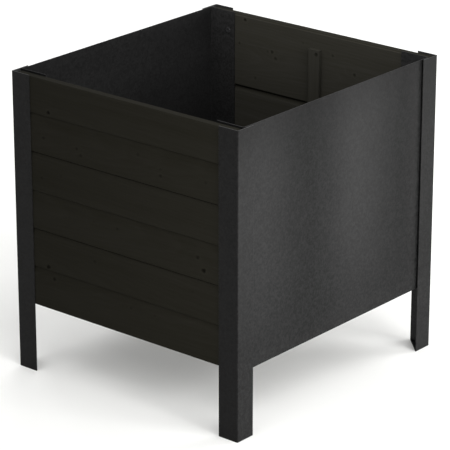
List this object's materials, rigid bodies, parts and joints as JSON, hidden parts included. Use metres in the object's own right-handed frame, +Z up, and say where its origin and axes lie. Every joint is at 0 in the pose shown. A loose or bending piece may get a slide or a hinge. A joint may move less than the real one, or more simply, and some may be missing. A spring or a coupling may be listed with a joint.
{
  "type": "planter box",
  "caption": "Black square planter box on angle legs, with two walls of grooved boards, two folded sheet steel walls and a slatted floor.",
  "frame": {"origin": "on the ground, at the middle of the box's footprint", "axes": "+Z up; the board walls face -Y (front) and +Y (back); the steel walls face -X (left) and +X (right)"},
  "size_m": [0.478, 0.514, 0.52],
  "materials": {
    "black_steel": "black satin coating over galvanised sheet",
    "black_wood": "planed softwood boards with an opaque black stain, matt",
    "floor_wood": "planed softwood slats with a black stain, matt",
    "black_screws": "black coated steel screws"
  },
  "bodies": {
    "root": {"steel_panel_left": "black_steel", "steel_panel_right": "black_steel", "leg_front_left": "black_steel", "leg_front_right": "black_steel", "leg_back_left": "black_steel", "leg_back_right": "black_steel", "foot_plate_front_left": "black_steel", "foot_plate_front_right": "black_steel", "foot_plate_back_left": "black_steel", "foot_plate_back_right": "black_steel", "leg_spacer_front_left": "black_steel", "leg_spacer_front_right": "black_steel", "leg_spacer_back_left": "black_steel", "leg_spacer_back_right": "black_steel", "front_board_bottom": "black_wood", "front_board_middle": "black_wood", "front_board_top": "black_wood", "back_board_bottom": "black_wood", "back_board_middle": "black_wood", "back_board_top": "black_wood", "front_batten": "black_wood", "back_batten": "black_wood", "floor_slat_1": "floor_wood", "floor_slat_2": "floor_wood", "floor_slat_3": "floor_wood", "floor_slat_4": "floor_wood", "floor_slat_5": "floor_wood", "front_corner_screws": "black_screws", "back_corner_screws": "black_screws", "front_batten_screws": "black_screws", "back_batten_screws": "black_screws", "floor_screws_left": "black_screws", "floor_screws_right": "black_screws"}
  },
  "joints": []
}
